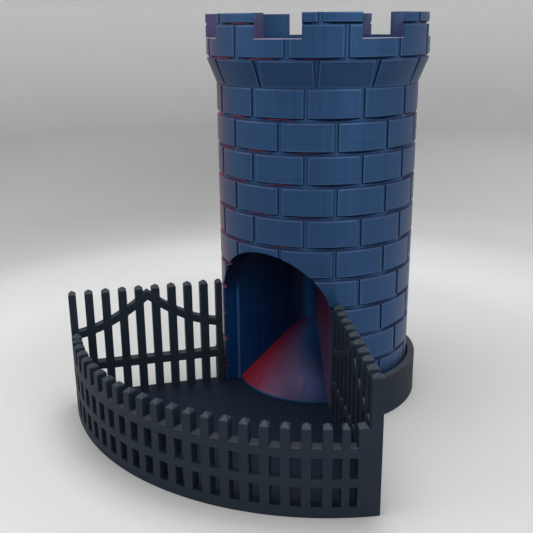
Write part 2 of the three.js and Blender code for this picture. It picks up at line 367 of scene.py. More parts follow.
def course_rows(course, columns):
    """The rows of one course. columns(half_width, radius) gives its bearings there."""
    rows = mortar_rows(course, columns)
    shoulder = course.top - TOP_EDGE
    levels = [(height, 0.0) for height in (course.face, course.face + RIM, shoulder - RIM, shoulder)]
    levels += [(course.top - 0.07 * MM, 0.07 * MM), (course.top, TOP_EDGE)]
    for height, drop in levels:
        share = share_up(course, height)
        radius = between(course.radii, share)
        half_width = between(course.half_widths, share)
        bearings = columns(half_width, radius)
        core = core_radius(course, bearings, radius)
        raised = brick_share(course, bearings, half_width, radius)
        rows.append((bearings, np.full(len(bearings), height), core + raised * (radius - core - drop)))
    return rows


def clipped(rows, bottom, top):
    """Keeps the rows between two heights that cut through brick faces or lie on ledges."""
    small = 0.01 * MM
    inside = [row for row in rows if row[1].min() > bottom - small and row[1].max() < top + small]

    def copy(row, height):
        return (row[0], np.full(len(row[0]), height), row[2])

    if inside[0][1].min() > bottom + small:
        inside.insert(0, copy(inside[0], bottom))
    if inside[-1][1].max() < top - small:
        inside.append(copy(inside[-1], top))
    return inside


def joint_marks(courses, start, end):
    """Marks at upright joints: a joint's bearing, a side of it, metres past that side, a course's number."""
    marks = []
    for number, course in enumerate(courses):
        bearing = course.joint - course.pitch * math.ceil((course.joint - start) / course.pitch + 1)
        while bearing < end + course.pitch:
            marks += [(bearing, side, mm * MM, number) for side in (-1, 1) for mm in JOINT_COLUMNS]
            marks.append((bearing, 0, 0.0, number))
            bearing += course.pitch
    return marks


def column_maker(courses, start, end):
    """Bearings with columns at every upright joint of some courses, plain ones between them.

    The first course's joints may widen with height, so the answer is a function of half width and radius.
    """
    middles = [between(course.half_widths, 0.5) for course in courses]
    full_turn = end - start >= 360

    def place(mark, half_width=middles[0], radius=courses[0].radii[0]):
        bearing, side, offset, number = mark
        half = middles[number] if number else half_width
        return bearing + side * math.degrees((half + offset) / radius)

    kept = [mark for mark in joint_marks(courses, start, end) if start < place(mark) < end]
    if not full_turn:
        kept += [(start, 1, -middles[0], 0), (end, -1, -middles[0], 0)]
    kept.sort(key=place)
    filled = []
    for i, mark in enumerate(kept):
        here = place(mark)
        if filled and here - place(filled[-1]) < 0.04:
            continue
        filled.append(mark)
        at_end = i + 1 == len(kept)
        if at_end and not full_turn:
            continue
        there = place(kept[0]) + 360 if at_end else place(kept[i + 1])
        count = math.floor((there - here) / COLUMN_SPACING)
        filled += [(here + (there - here) * step / (count + 1), 0, 0.0, 0) for step in range(1, count + 1)]
    return lambda half_width, radius: np.array([place(mark, half_width, radius) for mark in filled])


def brick_wall(name, courses, inner, bottom, top, arc_range=(0, 360)):
    """A closed wall of courses, listed from bottom to top."""
    start, end = arc_range
    columns = column_maker(courses[:2], start, end)
    rows = []
    for course in courses:
        rows += course_rows(course, columns)
    return shell(name, clipped(rows, bottom, top), inner, end - start >= 360)


def doorway_cutter():
    """A block with radial sides and a round arch, which cuts only the wall."""
    near = SHAFT_RADIUS - WALL_THICKNESS
    far = 1.5 * WALL_RADIUS
    steps = 40
    levels = [(0.0, TRAY_HALF_ANGLE)]
    for i in range(steps):
        turn = math.pi / 2 * i / steps
        half = math.asin(math.cos(turn) * math.sin(HALF_TRAY))
        levels.append((ARCH_SPRING + ARCH_RISE * math.sin(turn), math.degrees(half)))
    vertices = []
    for height, half in levels:
        for radius, bearing in ((near, -half), (far, -half), (far, half), (near, half)):
            vertices.append(polar(radius, bearing, height))
    faces = [(0, 3, 2, 1), tuple(4 * steps + corner for corner in range(4))]
    for level in range(steps):
        for side in range(4):
            a = level * 4 + side
            b = level * 4 + (side + 1) % 4
            faces.append((a, b, b + 4, a + 4))
    return piece("cutter", vertices, faces)


def lower_bricks():
    courses = [shaft_course(UPPER_COURSES + i) for i in reversed(range(LOWER_COURSES))]
    top = DOOR_TOP - LEDGE_DROP
    wall = brick_wall("doorway_bricks", courses, (SHAFT_RADIUS, SHAFT_RADIUS), FOOT, top)
    combine(wall, doorway_cutter(), "DIFFERENCE")
    soften_shading(wall, 35)
    return wall


def upper_bricks():
    courses = [shaft_course(i) for i in reversed(range(UPPER_COURSES))]
    bottom = DOOR_TOP - LEDGE_DROP
    return brick_wall("shaft_bricks", courses, (SHAFT_RADIUS, SHAFT_RADIUS), bottom, FLARE.ledge)


def merlon_bricks(number):
    middle = FIRST_MERLON + number * 360 / MERLONS
    ends = (middle - MERLON_HALF, middle + MERLON_HALF)
    courses = [PARAPET, TOP_COURSE]
    inner = (CROWN_INNER, CROWN_INNER)
    return brick_wall(f"merlon_bricks_{number + 1}", courses, inner, CRENEL_FLOOR, TOWER_TOP, ends)


def brick_marks(course, bearings, radii, heights):
    """A course's three marks at some points, each with where it holds. See paint_bricks."""
    inside = (heights >= course.ledge - TINY) & (heights <= course.top + TINY)
    on_face = heights > course.face - TINY
    share = np.clip((heights - course.face) / (course.top - course.face), 0, 1)
    radius = between(course.radii, share)
    from_middle = np.abs(from_joint(course, bearings))
    offset = (np.radians(from_middle) * radius - between(course.half_widths, share)) / MM
    start, rim_end = EDGE_PLACES[-1], JOINT_COLUMNS[-1]
    beside = np.interp(offset, (0.1, start, rim_end), (0, 1, 0))
    above = np.interp(heights, (course.face - 10 * TINY, course.face, course.face + RIM), (0, 1, 0))
    shoulder = course.top - TOP_EDGE
    below = np.interp(heights, (shoulder - RIM, shoulder, course.top + 10 * TINY), (0, 1, 1))
    level = np.maximum(above, below) * np.interp(offset, (0.1, start), (0, 1))
    corner = np.interp(offset, JOINT_COLUMNS[:4], (0, 1, 1, 0))
    long_way = np.interp(from_middle / (course.pitch / 2), (0.2, 0.8), (0, 1))
    return {
        "rim": (inside & (radii > radius - 0.3 * MM), np.maximum(beside, level)),
        "groove": (inside & on_face & (radii > radius - 2 * MM), corner),
        "glint": (inside & (heights < course.face - TINY), long_way),
    }


def paint_bricks(made, courses):
    """Marks each vertex, from 0 to 1.

    rim is the edge of a brick's face, where a highlight is painted, groove a joint's corners, where
    shade is painted, and glint the deep part of a brick's underside, at the middle of its length.
    """
    points = np.zeros(len(made.data.vertices) * 3)
    made.data.vertices.foreach_get("co", points)
    x, y, heights = points.reshape(-1, 3).T
    bearings = np.degrees(np.arctan2(x, -y))
    painted = {name: np.zeros(len(x)) for name in ("rim", "groove", "glint")}
    for course in courses:
        for name, (where, values) in brick_marks(course, bearings, np.hypot(x, y), heights).items():
            painted[name] = np.where(where, values, painted[name])
    for name, values in painted.items():
        attribute = made.data.attributes.new(name, "FLOAT", "POINT")
        attribute.data.foreach_set("value", values.astype(np.float32))
    return made


# ---------------------------------------------------------------- exit chamber


def under_deck(point):
    """The height of the sloping deck's underside over a point."""
    rise = math.tan(math.radians(DECK_TILT)) * (point.y - DECK_FRONT_Y)
    return DECK_FRONT_Z + rise - LINER_SHEET / math.cos(math.radians(DECK_TILT)) - GAP


def fillet_arc(radius):
    """The chamber's rounded back corner, from its right side round to its left."""
    centre = polar(CHAMBER_FILLET / math.sin(HALF_TRAY), 0)
    turn = 90 + TRAY_HALF_ANGLE
    return [centre + point for point in arc(radius, turn, 360 - turn, 4)]


FILLET_END = CHAMBER_FILLET / math.tan(HALF_TRAY)  # from the axis, along the walls


def chamber_side(side):
    """A radial sheet beside the ramp, in line with the door's jamb, left for -1 and right for 1."""
    back = math.sqrt(FITTED_RADIUS**2 - LINER_SHEET**2)
    corners = ((FILLET_END, 0), (FITTED_RADIUS, 0), (back, LINER_SHEET), (FILLET_END, LINER_SHEET))
    outline = [along_across(side * TRAY_HALF_ANGLE, along, side * across) for along, across in corners]
    if side < 0:
        outline.reverse()
    name = "left_chamber_sheet" if side < 0 else "right_chamber_sheet"
    return prism(name, outline, FOOT, under_deck)


def chamber_back():
    outline = fillet_arc(CHAMBER_FILLET)
    outline.append(along_across(-TRAY_HALF_ANGLE, FILLET_END, -LINER_SHEET))
    outline.append(Vector((0, LINER_SHEET / math.sin(HALF_TRAY), 0)))
    outline.append(along_across(TRAY_HALF_ANGLE, FILLET_END, LINER_SHEET))
    return prism("chamber_back_corner", outline, FOOT, under_deck)


def exit_cone():
    """A sector of a cone with its point on the axis, fitted between the chamber's walls."""
    rim_height = FOOT + RAMP_LIP
    profile = [(0, FOOT)]
    for inwards, upwards in ((0, -RAMP_LIP), (0, -0.25 * MM), (0.1 * MM, 0), (0.3 * MM, 0.3 * MM)):
        profile.append((FITTED_RADIUS - inwards, rim_height + upwards))
    top = rim_height + RAMP_SLOPE * FITTED_RADIUS
    for share in (0.25, 0.5, 0.75, 0.9):
        radius = FITTED_RADIUS * (1 - share)
        profile.append((radius, top - RAMP_SLOPE * radius))
    profile.append((0, top))
    cone = turned("exit_cone", profile)
    reach = 2 * WALL_RADIUS
    fit = 0.02 * MM  # of air beside the ramp
    plan = fillet_arc(CHAMBER_FILLET - fit)
    plan.append(along_across(-TRAY_HALF_ANGLE, reach, fit))
    plan.append(along_across(TRAY_HALF_ANGLE, reach, -fit))
    combine(cone, prism("sector", plan, 0, 2 * top), "INTERSECT")
    soften_shading(cone, 30)
    return cone


# ---------------------------------------------------------------- base


def behind_fence(radius):
    """The bearing where a circle meets the right fence's outer face."""
    return TRAY_HALF_ANGLE + math.degrees(math.asin(FENCE_DEPTH / radius))


def plate():
    """The disc under the tower joined to the tray's floor."""
    corner = math.sqrt(TRAY_RADIUS**2 - FENCE_DEPTH**2)
    corner_bearing = behind_fence(TRAY_RADIUS)
    ring_along = math.sqrt(RING_OUTER**2 - FENCE_DEPTH**2)
    ring_bearing = behind_fence(RING_OUTER)
    outline = arc(TRAY_RADIUS, -corner_bearing, corner_bearing, 1.0)
    outline[0] = along_across(-TRAY_HALF_ANGLE, corner, -FENCE_DEPTH)
    outline[-1] = along_across(TRAY_HALF_ANGLE, corner, FENCE_DEPTH)
    outline.append(along_across(TRAY_HALF_ANGLE, ring_along, FENCE_DEPTH))
    outline += arc(RING_OUTER, ring_bearing, 360 - ring_bearing)[1:-1]
    outline.append(along_across(-TRAY_HALF_ANGLE, ring_along, -FENCE_DEPTH))
    made = prism("tray_plate", outline, 0.0, PLATE_TOP)
    return round_edges(made, lambda a, b: min(a.z, b.z) > PLATE_TOP - NEAR)


def socket_wall():
    """The low round wall that the tower stands in, from one side fence round to the other."""
    outer, inner = (
        arc(radius, behind_fence(radius), 360 - behind_fence(radius)) for radius in (RING_OUTER, RING_INNER)
    )
    outline = outer + inner[::-1]
    made = prism("socket_wall", outline, PLATE_TOP, RING_TOP)
    return round_edges(made, lambda a, b: min(a.z, b.z) < RING_TOP - NEAR)


def lattice(name, lines, levels, filled, tips, place):
    """A fence as a sheet of cells, each filled or open, with one skin around all of them.

    lines are places along it and levels(line) the heights there. filled(i, j) says if a cell is solid,
    tips are the columns of cells that end in a four-sided point, and place(line, height, depth) is where
    a corner goes.
    """
    vertices = []
    numbers = {}
    faces = []
    top = len(levels(lines[0])) - 1

    def corner(i, j, depth):
        if (i, j, depth) not in numbers:
            numbers[i, j, depth] = len(vertices)
            vertices.append(place(lines[i], levels(lines[i])[j], depth))
        return numbers[i, j, depth]

    def solid(i, j):
        return 0 <= i < len(lines) - 1 and 0 <= j < top and filled(i, j)

    for i, j in product(range(len(lines) - 1), range(top)):
        if not solid(i, j):
            continue
        cell = ((i, j), (i + 1, j), (i + 1, j + 1), (i, j + 1))
        near = [corner(*at, 0.0) for at in cell]
        far = [corner(*at, FENCE_DEPTH) for at in cell]
        faces += [tuple(reversed(near)), tuple(far)]
        for side, (di, dj) in enumerate(((0, -1), (1, 0), (0, 1), (-1, 0))):
            after = (side + 1) % 4
            pointed = dj == 1 and j == top - 1 and i in tips
            if not solid(i + di, j + dj) and not pointed:
                faces.append((near[side], near[after], far[after], far[side]))
    for i in tips:
        loop = [corner(i, top, 0.0), corner(i + 1, top, 0.0)]
        loop += [corner(i + 1, top, FENCE_DEPTH), corner(i, top, FENCE_DEPTH)]
        apex = len(vertices)
        middle = sum((vertices[n] for n in loop), Vector()) / 4
        vertices.append(middle + Vector((0, 0, TIP)))
        faces += [(loop[n], loop[(n + 1) % 4], apex) for n in range(4)]
    made = piece(name, vertices, faces, 25)
    face_outwards(made)
    return made


def face_outwards(made):
    mesh = bmesh.new()
    mesh.from_mesh(made.data)
    bmesh.ops.recalc_face_normals(mesh, faces=mesh.faces)
    mesh.to_mesh(made.data)
    mesh.free()


def side_rail_height(along, half):
    """The arched rail's edge: half is -0.5 for its lower one and 0.5 for its upper one."""
    middle = (FIRST_SIDE_PICKET + LAST_SIDE_PICKET) / 2
    away = min(abs(along - middle), LAST_SIDE_PICKET - middle)
    height = ARCH_PEAK - ARCH_SLOPE * away + ARCH_BEND * away**2
    return height + half * ARCH_THICKNESS * math.hypot(1, ARCH_SLOPE - 2 * ARCH_BEND * away)


def side_levels(along):
    arched_rail = [side_rail_height(along, half) for half in (-0.5, 0.5)]
    return [PLATE_TOP, *LOW_RAIL, *arched_rail, SIDE_TOP - TIP]


def side_place(side):
    bearing = side * TRAY_HALF_ANGLE

    def place(along, height, depth):
        # the first picket's inner end follows the socket's bore, and the post the tray's rim
        along = min(along, math.sqrt(TRAY_RADIUS**2 - depth**2))
        along = max(along, math.sqrt(RING_INNER**2 - depth**2))
        return along_across(bearing, along, side * depth) + Vector((0, 0, height))

    return place


def on_plate(a, b):
    return max(a.z, b.z) < PLATE_TOP + NEAR


def measured_along(bearing, *points):
    """How far each point is from the axis, along a bearing."""
    angle = math.radians(bearing)
    return [p.x * math.sin(angle) - p.y * math.cos(angle) for p in points]


def side_fence(side):
    """Nine tall pickets, one straight rail and one that climbs to a peak."""
    half = PICKET_WIDTH / 2
    span = SIDE_PITCH - PICKET_WIDTH
    gap_steps = 4
    lines = []
    for i in range(SIDE_PICKETS - 1):
        middle = FIRST_SIDE_PICKET + i * SIDE_PITCH
        lines.append(middle - half)
        lines += [middle + half + span * step / gap_steps for step in range(gap_steps)]
    pickets = range(0, len(lines), gap_steps + 1)
    post = LAST_SIDE_PICKET - half
    lines.append(post)

    def filled(i, j):
        return i in pickets or j in (1, 3)

    def contact(a, b):
        reach = measured_along(side * TRAY_HALF_ANGLE, a, b)
        return on_plate(a, b) or min(reach) > post - NEAR

    name = "left_pickets" if side < 0 else "right_pickets"
    return round_edges(lattice(name, lines, side_levels, filled, pickets, side_place(side)), contact)


def corner_post(side):
    """The last picket, joined to the front fence's end block below that fence's top."""
    half = PICKET_WIDTH / 2
    lines = (LAST_SIDE_PICKET - half, LAST_SIDE_PICKET + half)
    block_top = FRONT_TOP - TIP

    def levels(along):
        return [PLATE_TOP, block_top, SIDE_TOP - TIP]

    def contact(a, b):
        depth = measured_along(side * (TRAY_HALF_ANGLE + 90), a, b)
        beside_block = max(depth) < NEAR and max(a.z, b.z) < block_top + NEAR
        return on_plate(a, b) or beside_block

    name = "left_post" if side < 0 else "right_post"
    return round_edges(lattice(name, lines, levels, lambda i, j: True, [0], side_place(side)), contact)


def front_fence():
    """Short pickets on the tray's rim, two rails, and a wide block at each end."""
    half = FRONT_PICKET_ANGLE / 2
    middles = [(i - (FRONT_PICKETS - 1) / 2) * FRONT_PITCH for i in range(FRONT_PICKETS)]
    lines = [middle + end for middle in middles for end in (-half, half)]
    bearing, width = END_PICKET
    for side in (-1, 1):
        lines += [side * bearing - width / 2, side * bearing + width / 2]
        lines += [side * end for end in END_BLOCK]
    lines.sort()

    def levels(bearing):
        return [PLATE_TOP, *FRONT_RAILS, FRONT_TOP - TIP]

    def filled(i, j):
        return i % 2 == 0 or j in (1, 3)

    def place(bearing, height, depth):
        return polar(TRAY_RADIUS - FENCE_DEPTH + depth, bearing, height)

    def contact(a, b):
        bearings = [abs(math.degrees(math.atan2(p.x, -p.y))) for p in (a, b)]
        return on_plate(a, b) or min(bearings) > TRAY_HALF_ANGLE - 0.01

    tips = range(0, len(lines), 2)
    return round_edges(lattice("front_pickets", lines, levels, filled, tips, place), contact)


# ---------------------------------------------------------------- materials


class Finish:
    """A material whose nodes feed one Principled shader."""

    def __init__(self, name, **sockets):
        self.material = bpy.data.materials.new(name)
        self.material.use_nodes = True
        self.tree = self.material.node_tree
        self.shader = self.tree.nodes["Principled BSDF"]
        for socket, value in sockets.items():
            self.shader.inputs[socket.replace("_", " ")].default_value = value
        self.place = self.add("ShaderNodeTexCoord", {}, 3)
        self.x, self.y, self.z = self.axes(self.place)

    @cached_property
    def normal(self):
        """X, Y and Z of the way that the surface looks."""
        return tuple(self.axes(self.add("ShaderNodeNewGeometry", {}, 1)))

    @cached_property
    def radius(self):
        squares = self.plus(self.times(self.x, self.x), self.times(self.y, self.y))
        return self.math("SQRT", squares)

    @cached_property
    def bearing(self):
        return self.bearing_of(self.x, self.y)

    @cached_property
    def facing(self):
        """The bearing that the surface looks along."""
        return self.bearing_of(*self.normal[:2])

    def bearing_of(self, x, y):
        """Radians, counted as all bearings here."""
        return self.math("ARCTAN2", x, self.times(y, -1.0))

    def add(self, kind, inputs, output=0, **settings):
        """Makes a node and returns one of its outputs. inputs are values or other nodes' outputs."""
        made = self.tree.nodes.new(kind)
        for setting, value in settings.items():
            setattr(made, setting, value)
        for key, value in inputs.items():
            if isinstance(value, bpy.types.NodeSocket):
                self.tree.links.new(value, made.inputs[key])
            else:
                made.inputs[key].default_value = value
        return made.outputs[output]

    def math(self, operation, first, second=0.0):
        return self.add("ShaderNodeMath", {0: first, 1: second}, operation=operation)

    def times(self, *factors):
        """Multiplies numbers, the first two first."""
        result = factors[0]
        for factor in factors[1:]:
            result = self.math("MULTIPLY", result, factor)
        return result

    def plus(self, first, second):
        return self.math("ADD", first, second)

    def span(self, value, start, end, low=0.0, high=1.0):
        """Takes start to low and end to high, and stays at those beyond them."""
        inputs = {"Value": value, "From Min": start, "From Max": end, "To Min": low, "To Max": high}
        return self.add("ShaderNodeMapRange", inputs)

    def vary(self, noise, low, high):
        """Spreads a noise, which lies mostly from 0.3 to 0.7, between two values."""
        return self.span(noise, 0.3, 0.7, low, high)

    def mix(self, share, first, second, blend="MIX"):
        inputs = {0: share, 6: first, 7: second}
        return self.add("ShaderNodeMix", inputs, 2, data_type="RGBA", blend_type=blend)

    def shade(self, tint, *lights):
        """Multiplies a colour by some grey levels."""
        light = self.times(*lights)
        return self.mix(1.0, tint, self.join(light, light, light), "MULTIPLY")

    def ramp(self, value, stops):
        """A colour ramp through (position, colour) stops."""
        made = self.tree.nodes.new("ShaderNodeValToRGB")
        self.tree.links.new(value, made.inputs[0])
        elements = made.color_ramp.elements
        elements[0].position, elements[0].color = stops[0]
        elements[1].position, elements[1].color = stops[-1]
        for position, tint in stops[1:-1]:
            elements.new(position).color = tint
        return made.outputs[0]

    def axes(self, vector):
        parts = self.tree.nodes.new("ShaderNodeSeparateXYZ")
        self.tree.links.new(vector, parts.inputs[0])
        return parts.outputs

    def join(self, x, y, z):
        return self.add("ShaderNodeCombineXYZ", {0: x, 1: y, 2: z})

    def noise(self, vector, scale, detail=2.0, roughness=0.5):
        inputs = {"Vector": vector, "Scale": scale, "Detail": detail, "Roughness": roughness}
        return self.add("ShaderNodeTexNoise", inputs)

    def mark(self, name):
        return self.add("ShaderNodeAttribute", {}, 2, attribute_name=name)

    def finish(self, colour, roughness, height, distance):
        bump = self.add("ShaderNodeBump", {"Height": height, "Distance": distance, "Strength": 1.0})
        self.tree.links.new(colour, self.shader.inputs["Base Color"])
        self.tree.links.new(roughness, self.shader.inputs["Roughness"])
        self.tree.links.new(bump, self.shader.inputs["Normal"])
        return self.material


def colour(red, green, blue):
    return (red, green, blue, 1.0)


def layer_lines(finish):
    """Fine level lines, where one printed layer lies on the next."""
    flat = finish.join(finish.times(finish.x, 0.02), finish.times(finish.y, 0.02), finish.z)
    return finish.noise(flat, 2600.0, 1.0), finish.noise(flat, 420.0)


def upright_streaks(finish):
    return finish.noise(finish.join(finish.x, finish.y, finish.times(finish.z, 0.03)), 700.0)


SILK = {"Metallic": 0.55, "IOR": 1.45, "Specular_IOR_Level": 0.35}
SILK_SHEEN = {"Sheen_Roughness": 0.35, "Sheen_Tint": colour(0.95, 0.72, 0.80)}

# the tower outside
BLUE = colour(0.026, 0.079, 0.193)
PLUM = colour(0.095, 0.042, 0.095)
DUSK = colour(0.034, 0.061, 0.158)
FLARE_SHADE = colour(0.50, 0.63, 0.67)
# painted shade for the faces that look down
UNDERSIDE_SHADE = colour(0.008, 0.027, 0.078)
GLINT = colour(0.95, 0.20, 0.24)
LEDGE_MAUVE = colour(0.10, 0.11, 0.26)
LEDGE_RED = colour(0.34, 0.06, 0.11)
JOINT_BLUE = colour(0.018, 0.058, 0.16)
RIM_LIGHT = colour(0.13, 0.25, 0.47)
GROOVE_SHADE = colour(0.006, 0.028, 0.085)
CRENEL_HIGHLIGHT = colour(0.55, 0.42, 0.52)
MERLON_MAUVE = colour(0.10, 0.095, 0.21)
MERLON_VIOLET = colour(0.05, 0.068, 0.16)

# its doorway and exit chamber
NAVY = colour(0.003, 0.044, 0.165)
DEEP_NAVY = colour(0.003, 0.014, 0.065)
TEAL = colour(0.010, 0.085, 0.26)
TEAL_SHADE = colour(0.007, 0.058, 0.19)
CHAMBER_RED = colour(0.14, 0.028, 0.062)
CHAMBER_MAUVE = colour(0.11, 0.062, 0.105)
JAMB_EDGE_HIGHLIGHT = colour(0.05, 0.16, 0.40)

# Two-colour silk changes with the way that a face looks. Outside, it is blue from the front round to the
# right and plum on the left. The places are shares of a turn, from the back by the left to the back again.
OUTER_STOPS = ((0.0, BLUE), (0.14, PLUM), (0.38, PLUM), (0.44, BLUE), (0.74, BLUE), (0.80, DUSK),
               (0.88, DUSK), (1.0, BLUE))
# Inside, the places are shares of the turn from the chamber's right wall to its left one. The teal is
# brightest where a face looks out through the doorway: painted light on top of the silk's own colours.
CHAMBER_STOPS = ((0.0, TEAL_SHADE), (0.28, TEAL_SHADE), (0.42, TEAL), (0.56, TEAL_SHADE),
                 (0.70, DEEP_NAVY), (1.0, DEEP_NAVY))

# The colours of the outer surface's faces that look towards larger bearings, towards smaller ones, and
# upwards on the left side.
OuterColours = namedtuple("OuterColours", "towards_larger towards_smaller left_ledge")
WALL_COLOURS = OuterColours(JOINT_BLUE, JOINT_BLUE, LEDGE_RED)
MERLON_COLOURS = OuterColours(MERLON_MAUVE, MERLON_VIOLET, LEDGE_MAUVE)


def facing_colour(finish):
    """Two-colour silk in the doorway: navy on the left, red on the right and teal between them, with painted
    shade on the left wall towards the axis and painted light on the teal that looks out of the doorway.
    """
    half = math.radians(90 - TRAY_HALF_ANGLE)
    turn = finish.span(finish.facing, -half, half)
    # painted shade: the left wall is darker deeper inside the tower
    left = finish.mix(finish.span(finish.radius, 8 * MM, 38 * MM), DEEP_NAVY, NAVY)
    right = finish.mix(finish.span(finish.z, 15 * MM, 55 * MM), CHAMBER_MAUVE, CHAMBER_RED)
    tint = finish.mix(finish.span(turn, 0.9, 1.0), finish.ramp(turn, CHAMBER_STOPS), left)
    return finish.mix(finish.span(turn, 0.24, 0.14), tint, right)


def outer_silk(name, sides, in_doorway=False, crenels=False):
    """Blue silk plastic with painted shade and a painted red glint where a face looks down, and painted
    highlights along its edges.
    """
    finish = Finish(name, **SILK, **SILK_SHEEN)
    nx, ny, nz = finish.normal
    across = finish.math("SUBTRACT", finish.times(ny, finish.x), finish.times(nx, finish.y))
    across = finish.math("DIVIDE", across, finish.radius)
    turn = finish.span(finish.facing, -math.pi, math.pi)
    # painted shade: the lower courses are darker, down to 87 % below 100 mm
    painted_shade_low = finish.span(finish.z, 100 * MM, 185 * MM, 0.87, 1.0)
    tint = finish.shade(finish.ramp(turn, OUTER_STOPS), painted_shade_low)
    # painted shade on the flare, whose faces look down a little
    tint = finish.mix(finish.span(nz, -0.2, -0.37), tint, FLARE_SHADE, "MULTIPLY")
    tint = finish.mix(finish.span(across, 0.6, 0.95), tint, sides.towards_larger)
    tint = finish.mix(finish.span(across, -0.6, -0.95), tint, sides.towards_smaller)
    # a painted highlight along the bricks' edges
    tint = finish.mix(finish.times(finish.mark("rim"), 0.25), tint, RIM_LIGHT)
    # painted shade in the corners of the upright joints
    tint = finish.mix(finish.times(finish.mark("groove"), 0.85), tint, GROOVE_SHADE)
    # painted shade on the faces that look down, with the painted red glint on them
    under = finish.mix(glint_share(finish), UNDERSIDE_SHADE, GLINT)
    tint = finish.mix(finish.span(nz, -0.48, -0.62), tint, under)
    to_right = finish.span(finish.bearing, math.radians(-60), 0.0)
    ledge = finish.mix(to_right, sides.left_ledge, LEDGE_MAUVE)
    tint = finish.mix(finish.span(nz, 0.45, 0.8), tint, ledge)
    sheen = finish.times(finish.span(nz, -0.5, -0.2, 0.0, 0.14), finish.span(turn, 0.68, 0.78, 1.0, 0.2))
    if crenels:
        # a painted highlight along the parapet's top edge between the merlons
        tint = finish.mix(crenel_highlight_edge(finish), tint, CRENEL_HIGHLIGHT)
    if in_doorway:
        here = doorway_share(finish)
        tint = finish.mix(here, tint, doorway_colour(finish))
        sheen = finish.times(sheen, finish.span(here, 1.0, 0.0))
    finish.tree.links.new(sheen, finish.shader.inputs["Sheen Weight"])
    return finish_silk(finish, tint, 0.08)


def finish_silk(finish, tint, streak_depth, *lights):
    """A silk's colour under some grey levels, upright streaks and layer lines."""
    fine, broad = layer_lines(finish)
    streaks = upright_streaks(finish)
    tint = finish.shade(
        tint,
        *lights,
        finish.vary(streaks, 1 - streak_depth, 1 + streak_depth),
        finish.vary(fine, 0.95, 1.05),
        finish.vary(broad, 0.96, 1.04),
    )
    return finish.finish(tint, finish.vary(streaks, 0.37, 0.47), fine, 0.03 * MM)


def glint_share(finish):
    """A red line half way up a brick's underside, strongest on the left and again on the far right."""
    mark = finish.mark("glint")
    line = finish.times(finish.span(mark, 0.3, 0.5), finish.span(mark, 0.9, 0.7))
    left = finish.span(finish.bearing, math.radians(-20), math.radians(38), 1.0, 0.0)
    right = finish.span(finish.bearing, math.radians(85), math.radians(105), 0.0, 0.6)
    return finish.times(line, finish.plus(left, right))


def crenel_highlight_edge(finish):
    """1 at the parapet's outer edge along its top, between the merlons, where a pale highlight is painted.
    """
    half = math.radians(MERLON_HALF)
    start = math.radians(FIRST_MERLON) - half
    turn = finish.math("SUBTRACT", finish.bearing, start)
    turn = finish.math("FLOORED_MODULO", turn, 2 * math.pi / MERLONS)
    open_here = finish.math("GREATER_THAN", turn, 2 * half)
    edge = finish.span(finish.z, CRENEL_FLOOR - 0.3 * MM, CRENEL_FLOOR - 0.15 * MM)
    outer = finish.span(finish.radius, CROWN_RADIUS - 1.0 * MM, CROWN_RADIUS - 0.7 * MM)
    return finish.times(open_here, finish.times(edge, outer))


def doorway_share(finish):
    """1 on the jambs and the arch's underside, which look across the wall."""
    nx, ny, nz = finish.normal
    outward = finish.plus(finish.times(nx, finish.x), finish.times(ny, finish.y))
    outward = finish.math("DIVIDE", outward, finish.radius)
    inside = finish.math("LESS_THAN", finish.radius, WALL_RADIUS - 0.6 * MM)
    level = finish.math("LESS_THAN", finish.math("ABSOLUTE", outward), 0.15)
    not_ledge = finish.math("LESS_THAN", nz, 0.3)
    return finish.times(inside, finish.times(level, not_ledge))


def doorway_colour(finish):
    """The chamber's colours, with a painted highlight along the wall's inner edge and painted shade under
    the arch.
    """
    upright = finish.span(finish.normal[2], -0.5, -0.1)
    strip = finish.span(finish.radius, SHAFT_RADIUS + 1.2 * MM, SHAFT_RADIUS + 1.5 * MM, 1.0, 0.0)
    jamb = finish.mix(finish.times(strip, upright), facing_colour(finish), JAMB_EDGE_HIGHLIGHT)
    return finish.mix(upright, UNDERSIDE_SHADE, jamb)


def chamber_silk():
    """The inside of the tower, with painted shade that makes it darker the higher it is above the tray."""
    finish = Finish("chamber_silk", **SILK)
    tint = finish.mix(finish.span(finish.normal[2], 0.3, 0.8), facing_colour(finish), BLUE)
    painted_shade_rising = finish.span(finish.z, 10 * MM, DOOR_TOP, 1.25, 0.5)
    painted_shade_near_top = finish.span(finish.z, 50 * MM, 75 * MM, 1.0, 0.5)
    return finish_silk(finish, tint, 0.25, painted_shade_rising, painted_shade_near_top)


CONE_STOPS = (
    (0.0, colour(0.40, 0.020, 0.036)),
    (0.15, colour(0.36, 0.026, 0.052)),
    (0.30, colour(0.21, 0.036, 0.085)),
    (0.42, colour(0.080, 0.026, 0.062)),
    (0.60, colour(0.050, 0.029, 0.072)),
    (0.80, colour(0.016, 0.020, 0.066)),
    (1.0, colour(0.008, 0.020, 0.075)),
)
# Painted light and shade near the ramp's point, from its left side to its right.
CONE_POINT_LIGHT_STOPS = (
    (0.0, colour(0.11, 0.012, 0.042)),
    (0.4, colour(0.05, 0.03, 0.09)),
    (0.8, TEAL),
    (1.0, TEAL),
)


